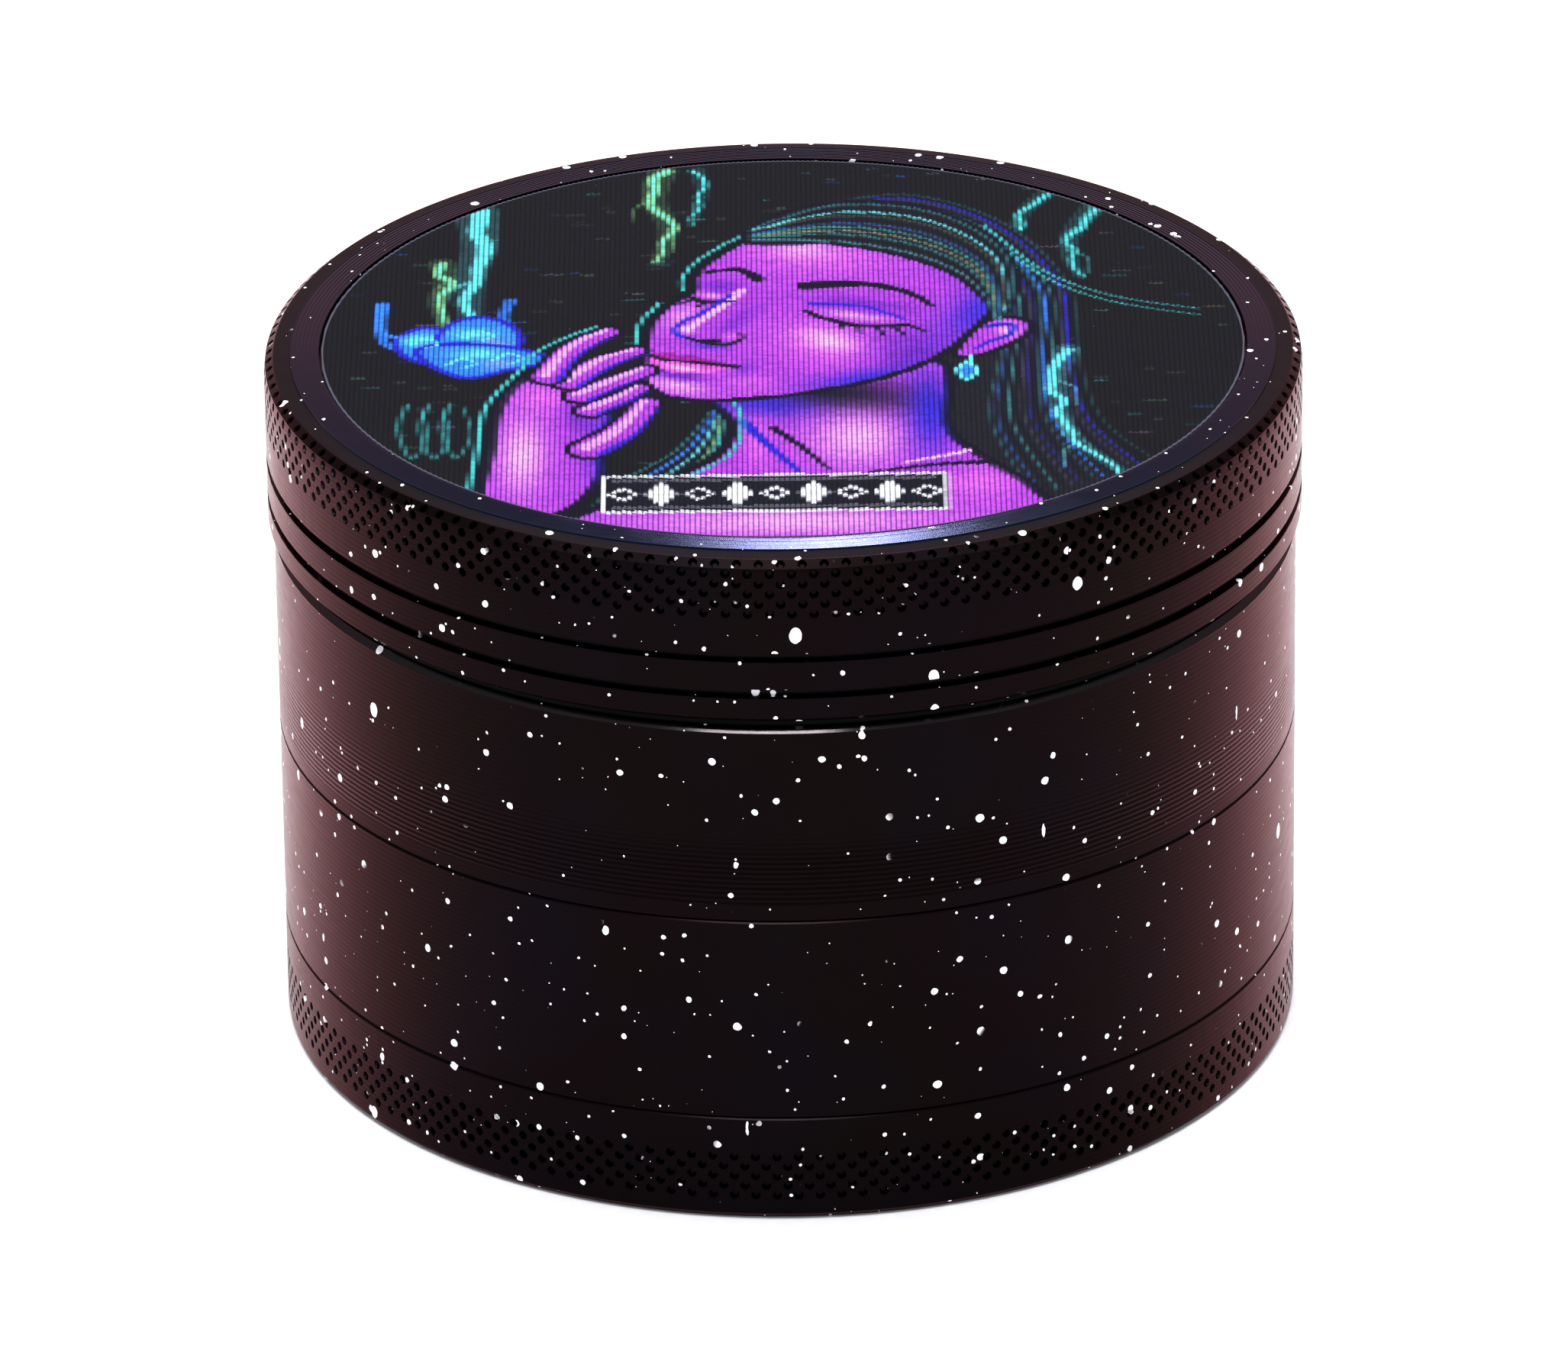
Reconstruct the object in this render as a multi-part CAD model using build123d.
from build123d import *
import os

# Four-part hand grinder, closed and standing on its base tray.
# Frame: millimetres, +Z up, origin on the table at the centre of the base.
# From the bottom: base tray, storage chamber with its sieve, grinding chamber, lid.

# ---- Driving dimensions -------------------------------------------------------------
LID_RADIUS = 31.5
BODY_RADIUS = 31.15
TOTAL_HEIGHT = 43.7

TRAY_SEAM = 6.8          # top of the base tray
STORAGE_SEAM = 19.9      # top of the storage chamber
CHAMBER_TOP = 32.65      # shoulder of the grinding chamber
LID_BOTTOM = 33.2        # lower rim of the lid

# Screw joints between the chambers: one right-hand start on each
PITCH = 1.5
SKIRT_RADIUS = 28.0      # plain outside of a male skirt
RIDGE_HEIGHT = 0.6
RIDGE_ROOT = 0.8         # width of the ridge at the wall
RIDGE_CREST = 0.4        # width of the ridge at its top
THREAD_GAP = 0.15        # radial room between a crest and the wall facing it
SOCKET_RADIUS = SKIRT_RADIUS + RIDGE_HEIGHT + THREAD_GAP
SKIRT_LENGTH = 4.2
SKIRT_BORE = 26.4
MALE_TURNS = 1.75
FEMALE_TURNS = 1.5
RIDGE_BITE = 0.2         # how far a ridge is sunk in its wall
END_ROOM = 0.2           # between a skirt's tip and the step below, and to its ridge
LEAD_CHAMFER = 0.3       # at the mouths of sockets, lips, posts and skirt tips

# Shared small features
SEAM_CHAMFER = 0.12
RUNNING_GAP = 0.05

# Base tray
TRAY_FLOOR = 1.6
TRAY_POCKET_RADIUS = 26.5
TRAY_FLOOR_CHAMFER = 0.5
TRAY_FOOT_CHAMFER = 0.4

# Storage chamber and the sieve that closes its bottom
STORAGE_BORE = 27.4
LEDGE_BORE = 25.9
LEDGE_Z = 8.0
SIEVE_RIM_HEIGHT = 0.9
SIEVE_RIM_WALL = 1.2
SIEVE_RIM_CHAMFER = 0.15
MESH_RADIUS = 26.65
MESH_THICKNESS = 0.2
SNAP_WIRE = 0.9
SNAP_SWEEP = 325.0       # degrees of wire in the snap ring
SNAP_LIFT = 0.1          # from the sieve's rim up to the wire
SNAP_ROOM = 0.02         # between the wire and each side of its groove
SNAP_DEPTH_ROOM = 0.1

# Grinding chamber
CAVITY_RADIUS = 27.6
FLOOR_BOTTOM = 22.3
FLOOR_TOP = 24.5
LIP_RADIUS = 29.2
LIP_TOP = 35.6
CHAMBER_TOP_CHAMFER = 0.35
DROP_HOLE = 3.6
DROP_RINGS = ((9.6, 6), (16.4, 10), (23.4, 16))

# Lid
LID_BORE = 29.35
LID_EDGE_CHAMFER = 0.25
ROOF_BOTTOM = 39.7
RIM_FLAT_RADIUS = 29.9   # outer edge of the flat top rim
RIM_STEP = 0.08          # drop at that edge
RIM_SLOPE_DROP = 0.12    # further drop from there to the side wall, if it were sharp
SHOULDER_RADIUS = 0.8    # rounding between the sloping rim and the side wall
GROOVE_HEIGHTS = (35.05, 37.4)
GROOVE_WIDTH = 0.6
GROOVE_DEPTH = 0.4
GROOVE_FLANK = 0.1       # rise of each sloping side of a groove
RECESS_RADIUS = 28.15
RECESS_FLOOR = 42.8

# Picture disc in the lid's recess, from the bottom up
DISC_RADIUS = 28.0
ADHESIVE_THICKNESS = 0.12
CARD_THICKNESS = 0.2
LENS_THICKNESS = 0.5

# Friction ring in a groove of the lid's lower rim
RING_INNER = 29.7
RING_OUTER = 30.7
RING_SEAT = 0.5

# Centre posts and the two magnets that hold the lid on
POST_RADIUS = 5.2
LID_POST_TIP = 32.0
CHAMBER_POST_TIP = 31.6
MAGNET_RADIUS = 4.0
MAGNET_HEIGHT = 3.0

# Teeth: upright diamonds whose points lead round the circle
TOOTH_HALF_LENGTH = 1.95
TOOTH_HALF_WIDTH = 1.35
TOOTH_TIP_CHAMFER = 0.3
LID_TOOTH_TIP = 26.7
CHAMBER_TOOTH_TIP = 37.0
LID_TOOTH_RINGS = ((9.6, 4), (16.4, 8), (23.4, 10))
CHAMBER_TOOTH_RINGS = ((13.0, 6), (19.9, 10))

# Scraper that lies loose in the base tray
SCRAPER_LENGTH = 26.0
SCRAPER_WIDTH = 17.0
SCRAPER_THICKNESS = 1.2
SCRAPER_CORNER = 2.5
SCRAPER_HOLE_RADIUS = 1.5
SCRAPER_HOLE_EDGE = 4.5  # from the blunt end to the hole's centre
SCRAPER_SHIFT = 4.0      # how far it lies from the middle of the tray


# ---- Shape helpers ------------------------------------------------------------------
def turned(*points):
    """A solid of revolution about Z from a closed outline of (radius, height) points."""
    outline = Plane.XZ * Polyline(*points, close=True)
    return revolve(make_face(outline), Axis.Z)


def ring(inner, outer, low, high):
    return turned((inner, low), (outer, low), (outer, high), (inner, high))


def disc(radius, low, high):
    return Pos(0, 0, low) * extrude(Circle(radius), high - low)


def thread_ridge(wall_radius, outwards, centre_z, turns):
    """A helical ridge that stands out of a round wall, outwards or inwards."""
    side = 1 if outwards else -1
    helix = Edge.make_helix(PITCH, PITCH * turns, wall_radius)
    section_plane = Plane(helix @ 0, x_dir=(side, 0, 0), z_dir=helix % 0)
    flank = (RIDGE_ROOT - RIDGE_CREST) / 2 / RIDGE_HEIGHT
    foot_half = RIDGE_ROOT / 2 + flank * RIDGE_BITE
    crest_half = RIDGE_CREST / 2
    section = section_plane * make_face(
        Polyline(
            (-RIDGE_BITE, -foot_half),
            (RIDGE_HEIGHT, -crest_half),
            (RIDGE_HEIGHT, crest_half),
            (-RIDGE_BITE, foot_half),
            close=True,
        )
    )
    ridge = sweep(section, path=helix, is_frenet=True)
    return Pos(0, 0, centre_z) * ridge


def male_ridge(seam):
    """The ridge on a skirt that hangs below a seam."""
    first_z = seam - SKIRT_LENGTH + END_ROOM + RIDGE_ROOT / 2
    return thread_ridge(SKIRT_RADIUS, True, first_z, MALE_TURNS)


def female_ridge(seam):
    """The ridge in the socket below a seam, half a pitch above the male one."""
    first_z = seam - SKIRT_LENGTH + END_ROOM + RIDGE_ROOT / 2 + PITCH / 2
    return thread_ridge(SOCKET_RADIUS, False, first_z, FEMALE_TURNS)


def tooth(foot_z, tip_z):
    """One diamond tooth on the Z axis, between its foot and its chamfered tip."""
    height = abs(tip_z - foot_z)
    corners = make_face(
        Polyline(
            (TOOTH_HALF_WIDTH, 0),
            (0, TOOTH_HALF_LENGTH),
            (-TOOTH_HALF_WIDTH, 0),
            (0, -TOOTH_HALF_LENGTH),
            close=True,
        )
    )
    prism = Pos(0, 0, min(foot_z, tip_z)) * extrude(corners, height)
    by_height = prism.faces().sort_by(Axis.Z)
    tip_face = by_height[-1] if tip_z > foot_z else by_height[0]
    return chamfer(tip_face.edges(), TOOTH_TIP_CHAMFER)


def tooth_rings(rings, foot_z, tip_z):
    """Copies of one tooth on circles, as a list of solids."""
    pattern = tooth(foot_z, tip_z)
    teeth = []
    for radius, count in rings:
        for index in range(count):
            turn = Rot(0, 0, 360 * index / count)
            teeth.append(turn * Pos(radius, 0, 0) * pattern)
    return teeth


# ---- Base tray and what lies in it --------------------------------------------------
def base_tray():
    wall_foot = TRAY_SEAM - SKIRT_LENGTH - END_ROOM
    body = turned(
        (0, 0),
        (BODY_RADIUS - TRAY_FOOT_CHAMFER, 0),
        (BODY_RADIUS, TRAY_FOOT_CHAMFER),
        (BODY_RADIUS, TRAY_SEAM - SEAM_CHAMFER),
        (BODY_RADIUS - SEAM_CHAMFER, TRAY_SEAM),
        (SOCKET_RADIUS + LEAD_CHAMFER, TRAY_SEAM),
        (SOCKET_RADIUS, TRAY_SEAM - LEAD_CHAMFER),
        (SOCKET_RADIUS, wall_foot),
        (TRAY_POCKET_RADIUS, wall_foot),
        (TRAY_POCKET_RADIUS, TRAY_FLOOR + TRAY_FLOOR_CHAMFER),
        (TRAY_POCKET_RADIUS - TRAY_FLOOR_CHAMFER, TRAY_FLOOR),
        (0, TRAY_FLOOR),
    )
    return body + female_ridge(TRAY_SEAM)


def pollen_scraper():
    """A rounded triangle that lies flat on the tray's floor, with a hanging hole."""
    blunt_end = -SCRAPER_LENGTH / 3
    outline = make_face(
        Polyline(
            (blunt_end + SCRAPER_LENGTH, 0),
            (blunt_end, SCRAPER_WIDTH / 2),
            (blunt_end, -SCRAPER_WIDTH / 2),
            close=True,
        )
    )
    plate = extrude(fillet(outline.vertices(), SCRAPER_CORNER), SCRAPER_THICKNESS)
    drill = Cylinder(SCRAPER_HOLE_RADIUS, 4 * SCRAPER_THICKNESS)
    plate -= Pos(blunt_end + SCRAPER_HOLE_EDGE, 0, 0) * drill
    return Pos(SCRAPER_SHIFT, 0, TRAY_FLOOR) * plate


# ---- Storage chamber and sieve ------------------------------------------------------
def storage_chamber():
    skirt_tip = TRAY_SEAM - SKIRT_LENGTH
    socket_foot = STORAGE_SEAM - SKIRT_LENGTH - END_ROOM
    snap_low = LEDGE_Z + SIEVE_RIM_HEIGHT + SNAP_LIFT - SNAP_ROOM
    snap_high = snap_low + SNAP_WIRE + 2 * SNAP_ROOM
    snap_depth = STORAGE_BORE + SNAP_WIRE / 2 + SNAP_DEPTH_ROOM
    body = turned(
        (LEDGE_BORE, skirt_tip),
        (SKIRT_RADIUS - LEAD_CHAMFER, skirt_tip),
        (SKIRT_RADIUS, skirt_tip + LEAD_CHAMFER),
        (SKIRT_RADIUS, TRAY_SEAM),
        (BODY_RADIUS - SEAM_CHAMFER, TRAY_SEAM),
        (BODY_RADIUS, TRAY_SEAM + SEAM_CHAMFER),
        (BODY_RADIUS, STORAGE_SEAM - SEAM_CHAMFER),
        (BODY_RADIUS - SEAM_CHAMFER, STORAGE_SEAM),
        (SOCKET_RADIUS + LEAD_CHAMFER, STORAGE_SEAM),
        (SOCKET_RADIUS, STORAGE_SEAM - LEAD_CHAMFER),
        (SOCKET_RADIUS, socket_foot),
        (STORAGE_BORE, socket_foot),
        (STORAGE_BORE, snap_high),
        (snap_depth, snap_high),
        (snap_depth, snap_low),
        (STORAGE_BORE, snap_low),
        (STORAGE_BORE, LEDGE_Z),
        (LEDGE_BORE, LEDGE_Z),
    )
    return body + male_ridge(TRAY_SEAM) + female_ridge(STORAGE_SEAM)


def sieve_rim():
    """A pressed rim, folded round the edge of the mesh."""
    outer = STORAGE_BORE - 2 * RUNNING_GAP
    inner = outer - SIEVE_RIM_WALL
    top = LEDGE_Z + SIEVE_RIM_HEIGHT
    middle = LEDGE_Z + SIEVE_RIM_HEIGHT / 2
    slot_half = MESH_THICKNESS / 2 + RUNNING_GAP / 2
    slot_radius = MESH_RADIUS + RUNNING_GAP
    return turned(
        (inner, LEDGE_Z),
        (outer - SIEVE_RIM_CHAMFER, LEDGE_Z),
        (outer, LEDGE_Z + SIEVE_RIM_CHAMFER),
        (outer, top - SIEVE_RIM_CHAMFER),
        (outer - SIEVE_RIM_CHAMFER, top),
        (inner, top),
        (inner, middle + slot_half),
        (slot_radius, middle + slot_half),
        (slot_radius, middle - slot_half),
        (inner, middle - slot_half),
    )


def sieve_mesh():
    middle = LEDGE_Z + SIEVE_RIM_HEIGHT / 2
    return disc(MESH_RADIUS, middle - MESH_THICKNESS / 2, middle + MESH_THICKNESS / 2)


def sieve_snap_ring():
    """An open ring of round wire, sprung into the groove above the rim."""
    centre_z = LEDGE_Z + SIEVE_RIM_HEIGHT + SNAP_LIFT + SNAP_WIRE / 2
    section = Plane.XZ * Pos(STORAGE_BORE, centre_z) * Circle(SNAP_WIRE / 2)
    return revolve(section, Axis.Z, revolution_arc=SNAP_SWEEP)


# ---- Grinding chamber ---------------------------------------------------------------
def grinding_chamber():
    skirt_tip = STORAGE_SEAM - SKIRT_LENGTH
    pocket_floor = CHAMBER_POST_TIP - MAGNET_HEIGHT - RUNNING_GAP
    body = turned(
        (0, FLOOR_BOTTOM),
        (SKIRT_BORE, FLOOR_BOTTOM),
        (SKIRT_BORE, skirt_tip),
        (SKIRT_RADIUS - LEAD_CHAMFER, skirt_tip),
        (SKIRT_RADIUS, skirt_tip + LEAD_CHAMFER),
        (SKIRT_RADIUS, STORAGE_SEAM),
        (BODY_RADIUS - SEAM_CHAMFER, STORAGE_SEAM),
        (BODY_RADIUS, STORAGE_SEAM + SEAM_CHAMFER),
        (BODY_RADIUS, CHAMBER_TOP - CHAMBER_TOP_CHAMFER),
        (BODY_RADIUS - CHAMBER_TOP_CHAMFER, CHAMBER_TOP),
        (LIP_RADIUS, CHAMBER_TOP),
        (LIP_RADIUS, LIP_TOP - LEAD_CHAMFER),
        (LIP_RADIUS - LEAD_CHAMFER, LIP_TOP),
        (CAVITY_RADIUS + LEAD_CHAMFER, LIP_TOP),
        (CAVITY_RADIUS, LIP_TOP - LEAD_CHAMFER),
        (CAVITY_RADIUS, FLOOR_TOP),
        (POST_RADIUS, FLOOR_TOP),
        (POST_RADIUS, CHAMBER_POST_TIP - LEAD_CHAMFER),
        (POST_RADIUS - LEAD_CHAMFER, CHAMBER_POST_TIP),
        (MAGNET_RADIUS + RUNNING_GAP, CHAMBER_POST_TIP),
        (MAGNET_RADIUS + RUNNING_GAP, pocket_floor),
        (0, pocket_floor),
    )
    for solid in tooth_rings(CHAMBER_TOOTH_RINGS, FLOOR_TOP, CHAMBER_TOOTH_TIP):
        body += solid
    body += male_ridge(STORAGE_SEAM)
    drill = Pos(0, 0, FLOOR_BOTTOM) * Cylinder(DROP_HOLE / 2, 4 * (FLOOR_TOP - FLOOR_BOTTOM))
    for radius, count in DROP_RINGS:
        for index in range(count):
            turn = Rot(0, 0, 360 * (index + 0.5) / count)
            body -= turn * Pos(radius, 0, 0) * drill
    return body


def chamber_magnet():
    return disc(MAGNET_RADIUS, CHAMBER_POST_TIP - MAGNET_HEIGHT, CHAMBER_POST_TIP)


# ---- Lid ----------------------------------------------------------------------------
def friction_ring():
    """A plain plastic ring that keeps the lid and the grinding chamber apart."""
    return ring(RING_INNER, RING_OUTER, CHAMBER_TOP, LID_BOTTOM + RING_SEAT)


def lid_shell():
    half_groove = GROOVE_WIDTH / 2
    groove_points = []
    for height in GROOVE_HEIGHTS:
        groove_points.append((LID_RADIUS, height - half_groove))
        groove_points.append((LID_RADIUS - GROOVE_DEPTH, height - half_groove + GROOVE_FLANK))
        groove_points.append((LID_RADIUS - GROOVE_DEPTH, height + half_groove - GROOVE_FLANK))
        groove_points.append((LID_RADIUS, height + half_groove))
    pocket_roof = LID_POST_TIP + MAGNET_HEIGHT + RUNNING_GAP
    seat_roof = LID_BOTTOM + RING_SEAT + RUNNING_GAP
    shoulder_z = TOTAL_HEIGHT - RIM_STEP - RIM_SLOPE_DROP
    body = turned(
        (0, pocket_roof),
        (MAGNET_RADIUS + RUNNING_GAP, pocket_roof),
        (MAGNET_RADIUS + RUNNING_GAP, LID_POST_TIP),
        (POST_RADIUS - LEAD_CHAMFER, LID_POST_TIP),
        (POST_RADIUS, LID_POST_TIP + LEAD_CHAMFER),
        (POST_RADIUS, ROOF_BOTTOM),
        (LID_BORE, ROOF_BOTTOM),
        (LID_BORE, LID_BOTTOM),
        (RING_INNER - RUNNING_GAP, LID_BOTTOM),
        (RING_INNER - RUNNING_GAP, seat_roof),
        (RING_OUTER + RUNNING_GAP, seat_roof),
        (RING_OUTER + RUNNING_GAP, LID_BOTTOM),
        (LID_RADIUS - LID_EDGE_CHAMFER, LID_BOTTOM),
        (LID_RADIUS, LID_BOTTOM + LID_EDGE_CHAMFER),
        *groove_points,
        (LID_RADIUS, shoulder_z),
        (RIM_FLAT_RADIUS + RIM_STEP, TOTAL_HEIGHT - RIM_STEP),
        (RIM_FLAT_RADIUS, TOTAL_HEIGHT),
        (RECESS_RADIUS, TOTAL_HEIGHT),
        (RECESS_RADIUS, RECESS_FLOOR),
        (0, RECESS_FLOOR),
    )
    corner_line = body.edges().filter_by_position(Axis.Z, shoulder_z - 0.01, shoulder_z + 0.01)
    body = fillet(corner_line, SHOULDER_RADIUS)
    for solid in tooth_rings(LID_TOOTH_RINGS, ROOF_BOTTOM, LID_TOOTH_TIP):
        body += solid
    return body


def lid_magnet():
    return disc(MAGNET_RADIUS, LID_POST_TIP, LID_POST_TIP + MAGNET_HEIGHT)


def disc_layers():
    """The glued, printed and ribbed layers of the picture disc, by name."""
    layers = {}
    low = RECESS_FLOOR
    for name, thickness in (
        ("disc_adhesive", ADHESIVE_THICKNESS),
        ("picture_card", CARD_THICKNESS),
        ("lens_sheet", LENS_THICKNESS),
    ):
        layers[name] = disc(DISC_RADIUS, low, low + thickness)
        low += thickness
    return layers


# ---- Write every piece --------------------------------------------------------------
def all_nodes():
    nodes = {
        "base_tray": base_tray(),
        "pollen_scraper": pollen_scraper(),
        "storage_chamber": storage_chamber(),
        "sieve_rim": sieve_rim(),
        "sieve_mesh": sieve_mesh(),
        "sieve_snap_ring": sieve_snap_ring(),
        "grinding_chamber": grinding_chamber(),
        "chamber_magnet": chamber_magnet(),
        "friction_ring": friction_ring(),
        "lid_shell": lid_shell(),
        "lid_magnet": lid_magnet(),
    }
    nodes.update(disc_layers())
    return nodes


os.makedirs("parts", exist_ok=True)
for node_name, shape in all_nodes().items():
    export_step(shape, f"parts/{node_name}.step")
